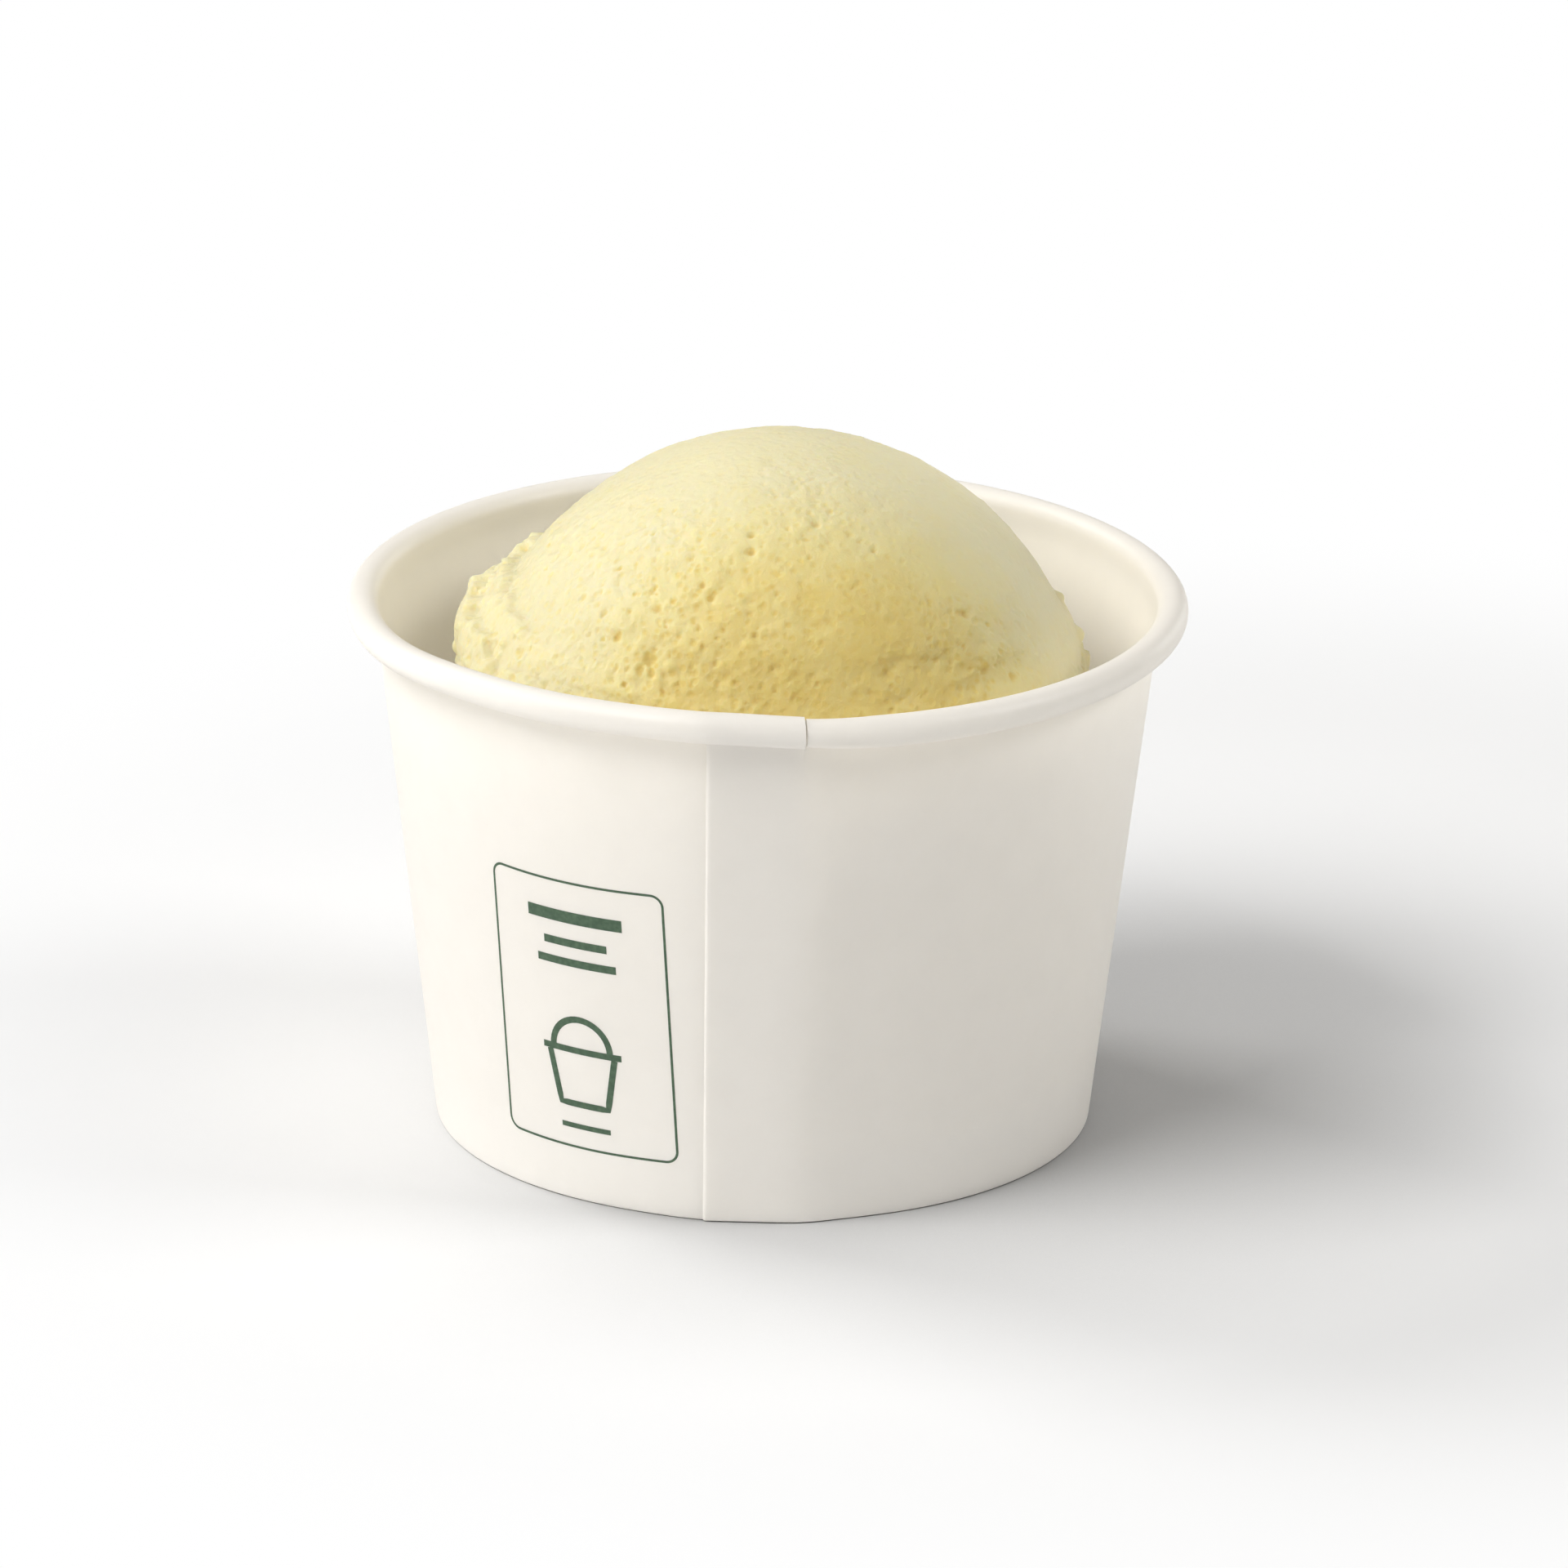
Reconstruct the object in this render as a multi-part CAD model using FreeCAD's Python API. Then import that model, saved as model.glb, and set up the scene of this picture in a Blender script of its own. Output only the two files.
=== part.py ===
"""A paper ice cream cup of about 120 ml, with one scoop of ice cream resting in it.

Millimetres, +Z up. The origin is the centre of the plane that the cup stands on.
The side seam is at the front, -Y, and +X is on the right of somebody who looks at it.
Angles round the cup are counted from the front towards +X.
"""
import FreeCAD
import Part
import math
import os

Vector = FreeCAD.Vector

# Cup, outside sizes
rim_outer_d = 75.0
base_outer_d = 59.0  # of the wall's outer face, carried on down to the table
cup_h = 49.0
rim_roll_d = 2.8

# Board and folds
wall_board_t = 0.35
floor_board_t = 0.30
glue_film_t = 0.03  # between the floor's skirt and the board on each side of it
hem_h = 5.2  # how far up the wall's turned-in edge reaches
hem_bevel = 0.2  # pressed edge along both folds of the hem
floor_h = 6.5  # the floor's underside above the table
floor_bend_r = 0.7  # outside of the bend from the floor to its skirt
roll_end_gap = 0.12  # between the roll's tucked edge and the wall

# Side seam: the outer layer's cut edge stands in a plane parallel to the cup's axis
seam_edge_x = -5.1
seam_lap_w = 8.5
seam_ramp_deg = 10.0  # where the board comes down from the lap to a single layer
seam_ramp_steps = 3

# Scoop of ice cream
scoop_d = 56.9
scoop_top_h = 62.7
scoop_off_x = 0.9
scoop_foot_d = 36.0
scoop_belly_h = 42.0  # where the round dome ends and the body narrows to its foot

# Torn foot of the scoop: rings of ice cream that stand out of the dome
lower_tear_d = 57.0
lower_tear_h = 43.4
lower_tear_t = 4.8
lower_tear_ripple = 0.5
upper_tear_d = 50.4
upper_tear_h = 48.4
upper_tear_t = 4.6
upper_tear_ripple = 0.7
upper_tear_off_x = -1.7  # from the scoop's own axis: it shows on the left and the back
upper_tear_off_y = 1.7
tear_draw_in = 1.5  # how far a ring draws in at its top and bottom
tear_points = 36

# Worked out from the sizes above
rim_r = rim_outer_d / 2
base_r = base_outer_d / 2
roll_r = rim_roll_d / 2
roll_centre = Vector(rim_r - roll_r, 0, cup_h - roll_r)
channel_w = floor_board_t + 2 * glue_film_t
floor_top = floor_h + floor_board_t
run_r = roll_centre.x - base_r
run = math.hypot(run_r, roll_centre.z)
taper = math.atan2(run_r, roll_centre.z) - math.asin((roll_r - wall_board_t) / run)
along = Vector(math.sin(taper), 0, math.cos(taper))
outward = Vector(math.cos(taper), 0, -math.sin(taper))

AXIS = Vector(0, 0, 1)
ORIGIN = Vector(0, 0, 0)
FULL_TURN = 360.0


def at_wall(depth, z):
    """The point at height z on the line that lies depth outside the wall's inner face."""
    r = base_r + (depth - wall_board_t) / math.cos(taper) + z * math.tan(taper)
    return Vector(r, 0, z)


def on_roll(radius, turn_deg):
    """The point of the rim's roll after turn_deg of curl, which starts at the wall."""
    a = math.radians(turn_deg)
    return roll_centre - outward * (radius * math.cos(a)) + along * (radius * math.sin(a))


def line(a, b):
    return Part.LineSegment(a, b).toShape()


def arc(a, middle, b):
    return Part.Arc(a, middle, b).toShape()


def polyline(points):
    return [line(a, b) for a, b in zip(points, points[1:])]


def to_angle(shape, deg):
    """Turn a section drawn in the XZ plane to an angle round the cup."""
    turned = shape.copy()
    turned.rotate(ORIGIN, AXIS, deg - 90)
    return turned


def wall_section(lift):
    """Cut section of the wall's board as a closed wire: roll, wall, fold and hem.

    lift moves the layer outwards off the one below it, and in the hem inwards.
    """
    inner = lift
    outer = lift + wall_board_t
    hem_face = -channel_w - lift
    hem_back = hem_face - wall_board_t
    roll_end = 270
    tail = outward * (roll_end_gap + outer - roll_r)
    outside = roll_r - inner
    inside = roll_r - outer

    up_the_inner_face = polyline([
        at_wall(hem_face, hem_h),
        at_wall(hem_face, wall_board_t),
        at_wall(inner, wall_board_t),
        on_roll(outside, 0),
    ])
    curl_over = [
        arc(on_roll(outside, 0), on_roll(outside, roll_end / 2), on_roll(outside, roll_end)),
        *polyline([
            on_roll(outside, roll_end),
            on_roll(outside, roll_end) + tail,
            on_roll(inside, roll_end) + tail,
            on_roll(inside, roll_end),
        ]),
        arc(on_roll(inside, roll_end), on_roll(inside, roll_end / 2), on_roll(inside, 0)),
    ]
    down_and_under = polyline([
        on_roll(inside, 0),
        at_wall(outer, hem_bevel),
        at_wall(outer, 0) - Vector(hem_bevel, 0, 0),
        at_wall(hem_back, 0) + Vector(hem_bevel, 0, 0),
        at_wall(hem_back, hem_bevel),
        at_wall(hem_back, hem_h),
        at_wall(hem_face, hem_h),
    ])
    return Part.Wire(up_the_inner_face + curl_over + down_and_under)


def swept(section, start_deg, turn_deg):
    """A board section carried round the cup."""
    return to_angle(Part.Face(section), start_deg).revolve(ORIGIN, AXIS, turn_deg)


def make_sidewall():
    """One board blank rolled into a cone, lapped at the seam, curled at the rim and hemmed."""
    lap_end = math.degrees(math.asin((seam_edge_x + seam_lap_w) / rim_r))
    single = swept(wall_section(0), lap_end + seam_ramp_deg, FULL_TURN - seam_ramp_deg)

    # The outer layer starts beyond its edge at the narrow base and is cut back to a plane
    lap_start = 2 * math.degrees(math.asin(seam_edge_x / base_r))
    outer_layer = swept(wall_section(wall_board_t), lap_start, lap_end - lap_start)
    keep = Part.makeBox(rim_r, rim_outer_d, 2 * cup_h, Vector(seam_edge_x, -rim_outer_d, 0))
    outer_layer = outer_layer.common(keep)

    sections = []
    for step in range(seam_ramp_steps + 1):
        part = step / seam_ramp_steps
        section = wall_section(wall_board_t * (1 - part))
        sections.append(to_angle(section, lap_end + seam_ramp_deg * part))
    ramp = Part.makeLoft(sections, True, True)

    return single.fuse([outer_layer, ramp]).removeSplitter()


def make_bottom_disc():
    """The floor: a disc with its edge bent down into a skirt that fills the hem's channel."""
    skirt_out = -glue_film_t
    skirt_in = skirt_out - floor_board_t
    skirt_z = wall_board_t + glue_film_t
    bend_in_r = floor_bend_r - floor_board_t
    half_turn = math.radians(90) - taper  # of the bend from flat to the skirt's slope
    setback = math.tan(half_turn / 2)

    def bend(depth, z, radius):
        """Start, middle and end of the bend whose sharp corner is on the depth line at z."""
        corner = at_wall(depth, z)
        flat_end = corner - Vector(radius * setback, 0, 0)
        centre = flat_end - Vector(0, 0, radius)
        tip = Vector(math.sin(half_turn / 2), 0, math.cos(half_turn / 2))
        return flat_end, centre + tip * radius, corner - along * (radius * setback)

    top = bend(skirt_out, floor_top, floor_bend_r)
    under = bend(skirt_in, floor_h, bend_in_r)
    edges = [line(Vector(0, 0, floor_top), top[0]), arc(*top)]
    edges += polyline([top[2], at_wall(skirt_out, skirt_z), at_wall(skirt_in, skirt_z), under[2]])
    edges += [arc(under[2], under[1], under[0])]
    edges += polyline([under[0], Vector(0, 0, floor_h), Vector(0, 0, floor_top)])
    return Part.Face(Part.Wire(edges)).revolve(ORIGIN, AXIS, FULL_TURN)


def ripple(angle, seed):
    """Uneven edge of torn ice cream, about -1 to 1: a few waves of different lengths."""
    waves = ((3, 0.35), (7, 0.3), (12, 0.35))
    return sum(size * math.cos(n * angle + seed * n * n) for n, size in waves)


def torn_ring(diameter, thickness, ripple_size, seed):
    """A ring of torn ice cream about the origin, drawn in at its top and bottom."""
    half_t = thickness / 2
    sections = []
    for rise, draw_in in ((-half_t, tear_draw_in), (0, 0), (half_t, tear_draw_in)):
        points = []
        for i in range(tear_points):
            angle = 2 * math.pi * i / tear_points
            r = diameter / 2 - draw_in + ripple_size * ripple(angle, seed)
            points.append(Vector(r * math.cos(angle), r * math.sin(angle), rise))
        edge = Part.BSplineCurve()
        edge.interpolate(Points=points, PeriodicFlag=True)
        sections.append(Part.Wire(edge.toShape()))
    return Part.makeLoft(sections, True, True)


def make_scoop():
    """A round dome that narrows to a flat foot on the floor, with two torn rings round it."""
    r = scoop_d / 2
    centre = Vector(0, 0, scoop_top_h - r)
    belly_r = math.sqrt(r ** 2 - (scoop_belly_h - centre.z) ** 2)
    # The ball's own poles lie level, below the cut, so that its crown is an even surface
    ball = Part.makeSphere(r, centre, Vector(1, 0, 0))
    dome = ball.common(Part.makeCylinder(r, r, Vector(0, 0, scoop_belly_h)))
    foot = Vector(0, 0, floor_top)
    lower_body = Part.makeCone(scoop_foot_d / 2, belly_r, scoop_belly_h - floor_top, foot)

    lower = torn_ring(lower_tear_d, lower_tear_t, lower_tear_ripple, 0.7)
    lower.translate(Vector(0, 0, lower_tear_h))
    upper = torn_ring(upper_tear_d, upper_tear_t, upper_tear_ripple, 1.9)
    upper.translate(Vector(upper_tear_off_x, upper_tear_off_y, upper_tear_h))
    scoop = dome.fuse([lower_body, lower, upper]).removeSplitter()
    scoop.translate(Vector(scoop_off_x, 0, 0))
    return scoop


PIECES = {
    "sidewall": make_sidewall,
    "bottom_disc": make_bottom_disc,
    "ice_cream_scoop": make_scoop,
}

os.makedirs("parts", exist_ok=True)
for node, make in PIECES.items():
    piece = make()
    piece.exportStep(f"parts/{node}.step")
    box = piece.optimalBoundingBox(False)
    print(
        f"{node}: {len(piece.Solids)} solid, valid {piece.isValid()}, {piece.Volume:.1f} mm3,"
        f" x {box.XMin:.2f} to {box.XMax:.2f}, y {box.YMin:.2f} to {box.YMax:.2f},"
        f" z {box.ZMin:.2f} to {box.ZMax:.2f}"
    )
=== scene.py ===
# %% [markdown]
# # A paper ice cream cup with one scoop
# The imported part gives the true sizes: a cup made of two pieces of board, and a scoop that rests in it.
# This file dresses it. The wall and the scoop get finer surfaces of the same form, the floor of the cup
# keeps its own mesh, and each of them gets a finish that is worked out by nodes.

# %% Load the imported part
import itertools
import math

import bpy
import numpy as np
from mathutils import Matrix, Vector


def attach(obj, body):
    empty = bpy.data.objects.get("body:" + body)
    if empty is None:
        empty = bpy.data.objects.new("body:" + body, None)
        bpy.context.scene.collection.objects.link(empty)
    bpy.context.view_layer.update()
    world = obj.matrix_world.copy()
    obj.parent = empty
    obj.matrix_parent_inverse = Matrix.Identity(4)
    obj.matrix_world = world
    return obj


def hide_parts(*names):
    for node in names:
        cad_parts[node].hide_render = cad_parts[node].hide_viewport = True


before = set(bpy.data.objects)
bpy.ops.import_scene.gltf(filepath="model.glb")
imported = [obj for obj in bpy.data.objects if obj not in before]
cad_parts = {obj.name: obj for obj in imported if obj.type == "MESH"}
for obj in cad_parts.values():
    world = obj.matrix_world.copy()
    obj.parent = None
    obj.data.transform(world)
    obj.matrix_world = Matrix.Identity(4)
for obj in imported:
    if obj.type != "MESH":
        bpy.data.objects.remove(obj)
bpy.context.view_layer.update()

# %% [markdown]
# ## Sizes
# The shapes are worked out in millimetres, like the part, and turned into metres as each mesh is made.
# The sizes repeat the part's own. Angles round the cup count from the front, -Y, towards +X.

# %% Sizes of the cup, in millimetres
MM = 0.001
RIM_R = 37.5
BASE_R = 29.5
CUP_H = 49.0
ROLL_R = 1.4
BOARD_T = 0.35
CHANNEL_W = 0.36
HEM_H = 5.2
ROLL_GAP = 0.12
ROLL_TURN = math.radians(270)
SEAM_EDGE_X = -5.1
SEAM_LAP = 8.5
SEAM_RAMP = math.radians(10)
FLOOR_TOP = 6.8
FULL_TURN = 2 * math.pi

roll_centre = np.array([RIM_R - ROLL_R, CUP_H - ROLL_R])
run = math.hypot(roll_centre[0] - BASE_R, roll_centre[1])
lean = math.atan2(roll_centre[0] - BASE_R, roll_centre[1])
TAPER = lean - math.asin((ROLL_R - BOARD_T) / run)
ALONG = np.array([math.sin(TAPER), math.cos(TAPER)])
OUTWARD = np.array([math.cos(TAPER), -math.sin(TAPER)])
print("wall leans out by", round(math.degrees(TAPER), 2), "degrees")

# %% [markdown]
# ## From a grid to a mesh
# Every surface here is a grid of points. One helper joins neighbours with four-sided faces, and another
# puts points and faces into a mesh, shades it smooth and marks the edges that are truly sharp.


# %% Mesh helpers
def grid_faces(rows, columns, wrap_columns=False):
    """Four corners per face: a point, the next one in its row, and the two beyond in the next row."""
    index = np.arange(rows * columns).reshape(rows, columns)
    if wrap_columns:
        index = np.hstack([index, index[:, :1]])
    corners = [index[:-1, :-1], index[:-1, 1:], index[1:, 1:], index[1:, :-1]]
    return np.stack([corner.ravel() for corner in corners], axis=1)


def put_mesh(name, points, faces, sharp_deg=35.0):
    """A mesh object at the origin, from points in millimetres and a list of faces."""
    mesh = bpy.data.meshes.new(name)
    mesh.from_pydata(np.asarray(points) * MM, [], [list(map(int, face)) for face in faces])
    mesh.shade_smooth()
    mesh.set_sharp_from_angle(angle=math.radians(sharp_deg))
    mesh.validate()
    made = bpy.data.objects.new(name, mesh)
    bpy.context.scene.collection.objects.link(made)
    triangles = sum(len(face) - 2 for face in faces)
    print(name, "has", len(points), "points and", triangles, "triangles")
    return made


def round_the_axis(r, z, angle):
    """Points at radius r and height z, turned by angle from the front towards +X."""
    r, z, angle = np.broadcast_arrays(r, z, angle)
    return np.stack([r * np.sin(angle), -r * np.cos(angle), z], axis=-1)


# %% [markdown]
# ## Noise without pictures
# Ice cream and board need unevenness that is the same in each run. A lattice noise gives each corner of
# a cubic lattice a number worked out from its place, and blends the eight corners round a point.
# A second one scatters one bowl in each cell, which is how trapped air leaves pits in a torn face.


# %% Noise helpers
def scattered(cells, seed):
    """A number from 0 to 1 for each lattice cell, by mixing the bits of its three indices."""
    mixed = cells[..., 0] * 73856093 ^ cells[..., 1] * 19349663 ^ cells[..., 2] * 83492791
    mixed = (mixed ^ (seed * 40503 + 977)) & 0xFFFFFFFF
    mixed = ((mixed ^ (mixed >> 15)) * 739982445) & 0xFFFFFFFF
    mixed = ((mixed ^ (mixed >> 12)) * 695872825) & 0xFFFFFFFF
    return (mixed ^ (mixed >> 15)) / 0xFFFFFFFF


def smooth_noise(points, size, seed):
    """Noise from -1 to 1 in lumps about size wide: corner values blended by a fifth-power step."""
    place = points / size + 100.0
    cell = np.floor(place).astype(np.int64)
    part = place - cell
    blend = part ** 3 * (part * (part * 6 - 15) + 10)
    total = np.zeros(points.shape[:-1])
    for corner in itertools.product((0, 1), repeat=3):
        weight = np.prod(np.where(corner, blend, 1 - blend), axis=-1)
        total += weight * (2 * scattered(cell + np.array(corner), seed) - 1)
    return total


def rough_noise(points, size, seed, octaves=3):
    """Smooth noise with finer noise added, each half as wide and a little over half as strong."""
    total = sum(0.55 ** k * smooth_noise(points, size / 2 ** k, seed + k) for k in range(octaves))
    return total / sum(0.55 ** k for k in range(octaves))


def pits(points, spacing, share, radius, seed):
    """0 on the skin and up to 1 in a pit: one ball to a lattice cell, in a share of the cells."""
    place = points / spacing + 100.0
    cell = np.floor(place).astype(np.int64)
    depth = np.zeros(points.shape[:-1])
    for corner in itertools.product((-1, 0, 1), repeat=3):
        near = cell + np.array(corner)
        shift = np.stack([scattered(near, seed + k) for k in range(3)], axis=-1)
        reach = radius / spacing * (0.5 + 0.7 * scattered(near, seed + 3))
        away = np.linalg.norm(place - near - shift, axis=-1) / reach
        bowl = np.clip(1 - away ** 2, 0, 1) ** 0.8
        depth = np.maximum(depth, np.where(scattered(near, seed + 4) < share, bowl, 0))
    return depth


def step(value, low, high):
    """0 below low, 1 above high, and a smooth rise between them."""
    part = np.clip((value - low) / (high - low), 0, 1)
    return part * part * (3 - 2 * part)


# %% [markdown]
# ## Node helpers
# A finish is a small tree of nodes. One helper makes a node, sets its options and sets or links its
# inputs, so that each material reads as a list of what it does.


# %% Node helpers
def add(tree, kind, inputs=None, **options):
    """A node of one kind. An input is a value, or an output of another node to link."""
    made = tree.nodes.new(kind)
    for name, value in options.items():
        setattr(made, name, value)
    for name, value in (inputs or {}).items():
        if isinstance(value, bpy.types.NodeSocket):
            tree.links.new(value, made.inputs[name])
        else:
            made.inputs[name].default_value = value
    return made


def ramp(tree, factor, stops):
    """A colour ramp through (position, colour) stops, read at factor."""
    made = add(tree, "ShaderNodeValToRGB", {"Fac": factor})
    elements = made.color_ramp.elements
    while len(elements) < len(stops):
        elements.new(0.5)
    for element, (position, colour) in zip(elements, stops):
        element.position = position
        element.color = (*colour, 1)
    return made.outputs["Color"]


def spread(tree, value, given, wanted, kind="LINEAR"):
    """The value carried from the given range to the wanted one, and kept inside it."""
    low, high = given
    to_low, to_high = wanted
    return add(tree, "ShaderNodeMapRange", {
        "Value": value, "From Min": low, "From Max": high, "To Min": to_low, "To Max": to_high},
        interpolation_type=kind).outputs["Result"]


def worked(tree, operation, *values):
    """The result of one math operation on two or three values."""
    return add(tree, "ShaderNodeMath", dict(enumerate(values)), operation=operation).outputs[0]


def finish_named(name):
    """A new material with an empty tree."""
    made = bpy.data.materials.new(name)
    made.use_nodes = True
    made.node_tree.nodes.clear()
    return made, made.node_tree


def close_with(tree, shader):
    """Send the shader to the material's surface."""
    add(tree, "ShaderNodeOutputMaterial", {"Surface": shader.outputs[0]})


# %% [markdown]
# ## Paperboard
# The cup is bleached board with a thin moisture-proof film on it: white, a little warm, smooth to the
# touch and satin, with a very faint cloudiness from the fibres. The cloudiness is one group that every
# board finish shares. Its inputs are how fine the clouds and the grain are. Board this thin also lets
# some light through, which is why the inside of a paper cup looks bright, so the wall's finish mixes
# its coated surface with a translucent one. Subsurface scattering would need a thicker wall.


# %% Board grain group
def make_board_grain():
    """Group: how cloudy the board is at a point, and the height of its fine grain."""
    tree = bpy.data.node_groups.new("board grain", "ShaderNodeTree")
    face = tree.interface
    face.new_socket("Cloud scale", in_out="INPUT", socket_type="NodeSocketFloat")
    face.new_socket("Grain scale", in_out="INPUT", socket_type="NodeSocketFloat")
    face.new_socket("Cloud", in_out="OUTPUT", socket_type="NodeSocketFloat")
    face.new_socket("Height", in_out="OUTPUT", socket_type="NodeSocketFloat")
    given = add(tree, "NodeGroupInput")
    place = add(tree, "ShaderNodeTexCoord").outputs["Object"]
    cloud = add(tree, "ShaderNodeTexNoise", {
        "Vector": place, "Scale": given.outputs["Cloud scale"], "Detail": 4.0, "Roughness": 0.6})
    grain = add(tree, "ShaderNodeTexNoise", {
        "Vector": place, "Scale": given.outputs["Grain scale"], "Detail": 3.0, "Roughness": 0.5})
    add(tree, "NodeGroupOutput", {"Cloud": cloud.outputs["Fac"], "Height": grain.outputs["Fac"]})
    return tree


board_grain = make_board_grain()
print("board grain group has", len(board_grain.nodes), "nodes")

# %% Board materials
CLOUDS_PER_METRE = 260.0
GRAINS_PER_METRE = 2600.0
GRAIN_DEPTH = 0.02 * MM
THROUGH_COLOUR = (0.98, 0.95, 0.88, 1)


def make_board(name, shade, light, roughness, see_through):
    """Coated board whose tint drifts from shade to light. The share see_through is translucent."""
    made, tree = finish_named(name)
    grain = add(tree, "ShaderNodeGroup", node_tree=board_grain)
    grain.inputs["Cloud scale"].default_value = CLOUDS_PER_METRE
    grain.inputs["Grain scale"].default_value = GRAINS_PER_METRE
    cloud = grain.outputs["Cloud"]
    colour = ramp(tree, cloud, [(0.3, shade), (0.7, light)])
    low, high = roughness
    rough = ramp(tree, cloud, [(0.3, (high,) * 3), (0.7, (low,) * 3)])
    bump = add(tree, "ShaderNodeBump", {
        "Strength": 0.12, "Distance": GRAIN_DEPTH, "Height": grain.outputs["Height"]})
    coated = add(tree, "ShaderNodeBsdfPrincipled", {
        "Base Color": colour, "Roughness": rough, "Normal": bump.outputs["Normal"]})
    through = add(tree, "ShaderNodeBsdfTranslucent", {"Color": THROUGH_COLOUR})
    close_with(tree, add(tree, "ShaderNodeMixShader", {
        0: see_through, 1: coated.outputs[0], 2: through.outputs[0]}))
    return made


wall_board = make_board(
    "coated wall board", (0.945, 0.921, 0.885), (0.97, 0.946, 0.91), (0.38, 0.48), see_through=0.30)
floor_board = make_board(
    "coated floor board", (0.80, 0.795, 0.77), (0.84, 0.835, 0.81), (0.42, 0.55), see_through=0.0)
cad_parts["bottom_disc"].data.materials.clear()
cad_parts["bottom_disc"].data.materials.append(floor_board)
print("board finishes:", wall_board.name, "and", floor_board.name)

# %% [markdown]
# ## Side wall
# The wall is one flat blank, rolled into a cone, lapped and sealed at the front, curled outwards at the
# top and folded in and up at the bottom. A lathe would lose the seam, so the sheet is followed as it
# really runs: a section across the board, from the hem over the fold, up the wall and round the curl,
# is carried once round the cup and on under its own first edge.

# %% Section of the board
# Height of the pressed fold and the power that flattens it, and the height below the rim's roll over
# which the layers move into their order in the curl. Then the points along each stretch.
FOLD_RISE = 0.3
FOLD_POWER = 0.6
BLEND_H = 3.0
FOLD_STEPS, HEM_STEPS, WALL_STEPS, CURL_STEPS = 15, 5, 48, 46


def at_wall(depth, z):
    """Radius and height of a point that lies depth outside the wall's inner face, at height z."""
    r = BASE_R + (depth - BOARD_T) / math.cos(TAPER) + z * math.tan(TAPER)
    return np.stack(np.broadcast_arrays(r, z), axis=-1)


def on_roll(radius, turn):
    """Radius and height of a point on the rim's curl, after turn radians from the wall."""
    reach = np.asarray(radius)[..., None]
    inward = OUTWARD * reach * np.cos(turn)[..., None]
    upward = ALONG * reach * np.sin(turn)[..., None]
    return roll_centre - inward + upward


def fold(left, right, bottom, turn):
    """A pressed fold in section: a flattened half ellipse from left down to bottom and up to right."""
    middle, half = (left + right) / 2, (right - left) / 2
    across = middle - half * np.sign(np.cos(turn)) * np.abs(np.cos(turn)) ** FOLD_POWER
    z = bottom + FOLD_RISE * (1 - np.abs(np.sin(turn)) ** FOLD_POWER)
    lean_out = (z - bottom) * math.tan(TAPER)
    return np.stack([across + lean_out, z], axis=-1)


def board_face(depth, curl_depth, foot, behind):
    """One face of the board for each angle, from the hem's top to the tucked end of the curl.

    depth is how far the face lies outside the wall's inner line, and curl_depth the same in the pressed
    curl. foot is the height of its fold, and behind is the depth of the same face in the hem.
    """
    fold_top = foot + FOLD_RISE
    hem = at_wall(behind, fold_top + (HEM_H - fold_top) * np.linspace(1, 0, HEM_STEPS)[:-1])
    left = at_wall(behind, foot)[..., 0]
    right = at_wall(depth, foot)[..., 0]
    under = fold(left, right, foot, np.linspace(0, math.pi, FOLD_STEPS))
    wall_top = roll_centre[1]
    wall_z = fold_top + (wall_top - fold_top) * np.linspace(0, 1, WALL_STEPS)[1:-1]
    wall = at_wall(depth + (curl_depth - depth) * step(wall_z, wall_top - BLEND_H, wall_top), wall_z)
    curl_turn = np.linspace(0, ROLL_TURN, CURL_STEPS)
    radius = np.broadcast_to(ROLL_R - curl_depth, (len(curl_depth), CURL_STEPS))
    curl = on_roll(radius, curl_turn)
    tail = ROLL_R - np.maximum(curl_depth, BOARD_T) - ROLL_GAP
    tuck = curl[:, -1:] - OUTWARD * (tail * np.array([[0.5, 1.0]]))[..., None]
    return np.concatenate([hem, under, wall, curl, tuck], axis=1)


print("points across one face of the board:", HEM_STEPS + FOLD_STEPS + WALL_STEPS + CURL_STEPS - 1)

# %% [markdown]
# Along the sheet, its share of the way runs from 0 to 1 over the lap, to 2 down the ramp beside it, to 3
# once round the cup, and to 4 back under the lap. A layer that lies over another one is lifted by one
# board. The sheet's first edge is cut straight, in a plane beside the cup's axis, so each point of the
# section starts at its own angle. The press has rounded that cut edge, which catches the light. In the
# curl the last edge lies outermost: pressed thin, with a groove beside it, it is the short dark line on
# the rim.

# %% Layers of the sheet
# The film between two layers, what the press takes off the first edge and over which share, and the
# pressed thickness and the groove of the last edge in the curl
GLUE = 0.012
EDGE_PRESS = 0.22
EDGE_SHARE = 0.036
PRESSED_T = 0.16
GROOVE = 0.16
share = np.concatenate([
    [0, 0.006, 0.014, 0.024, EDGE_SHARE],
    np.linspace(0.07, 0.98, 14),
    [1, 1.018, 1.026],
    np.linspace(1.06, 2, 16)[:-1],
    np.linspace(2, 2.997, 290),
    [3, 3.03, 3.06],
    np.linspace(3.1, 4, 20),
])
lapped = np.clip(2 - share, 0, 1)
lift = (BOARD_T + GLUE) * step(lapped, 0.0, 1.0)
foot = (BOARD_T + GLUE) * step(share, 3.0, 3.06)
edge_press = EDGE_PRESS * (1 - np.clip(share / EDGE_SHARE, 0, 1)) ** 2

curl_t = np.where(share > 3, BOARD_T + (PRESSED_T - BOARD_T) * (share - 3), BOARD_T)
over_t = np.interp(share, [0, 1, 2], [BOARD_T, PRESSED_T, 0])
curl_lift = over_t + GLUE * step(lapped, 0.0, 0.2) + GROOVE * ((share > 0.99) & (share < 1.02))
print("stations along the sheet:", len(share))

# %% Angles of the sheet
lap_end = math.asin((SEAM_EDGE_X + SEAM_LAP) / RIM_R)


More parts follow.
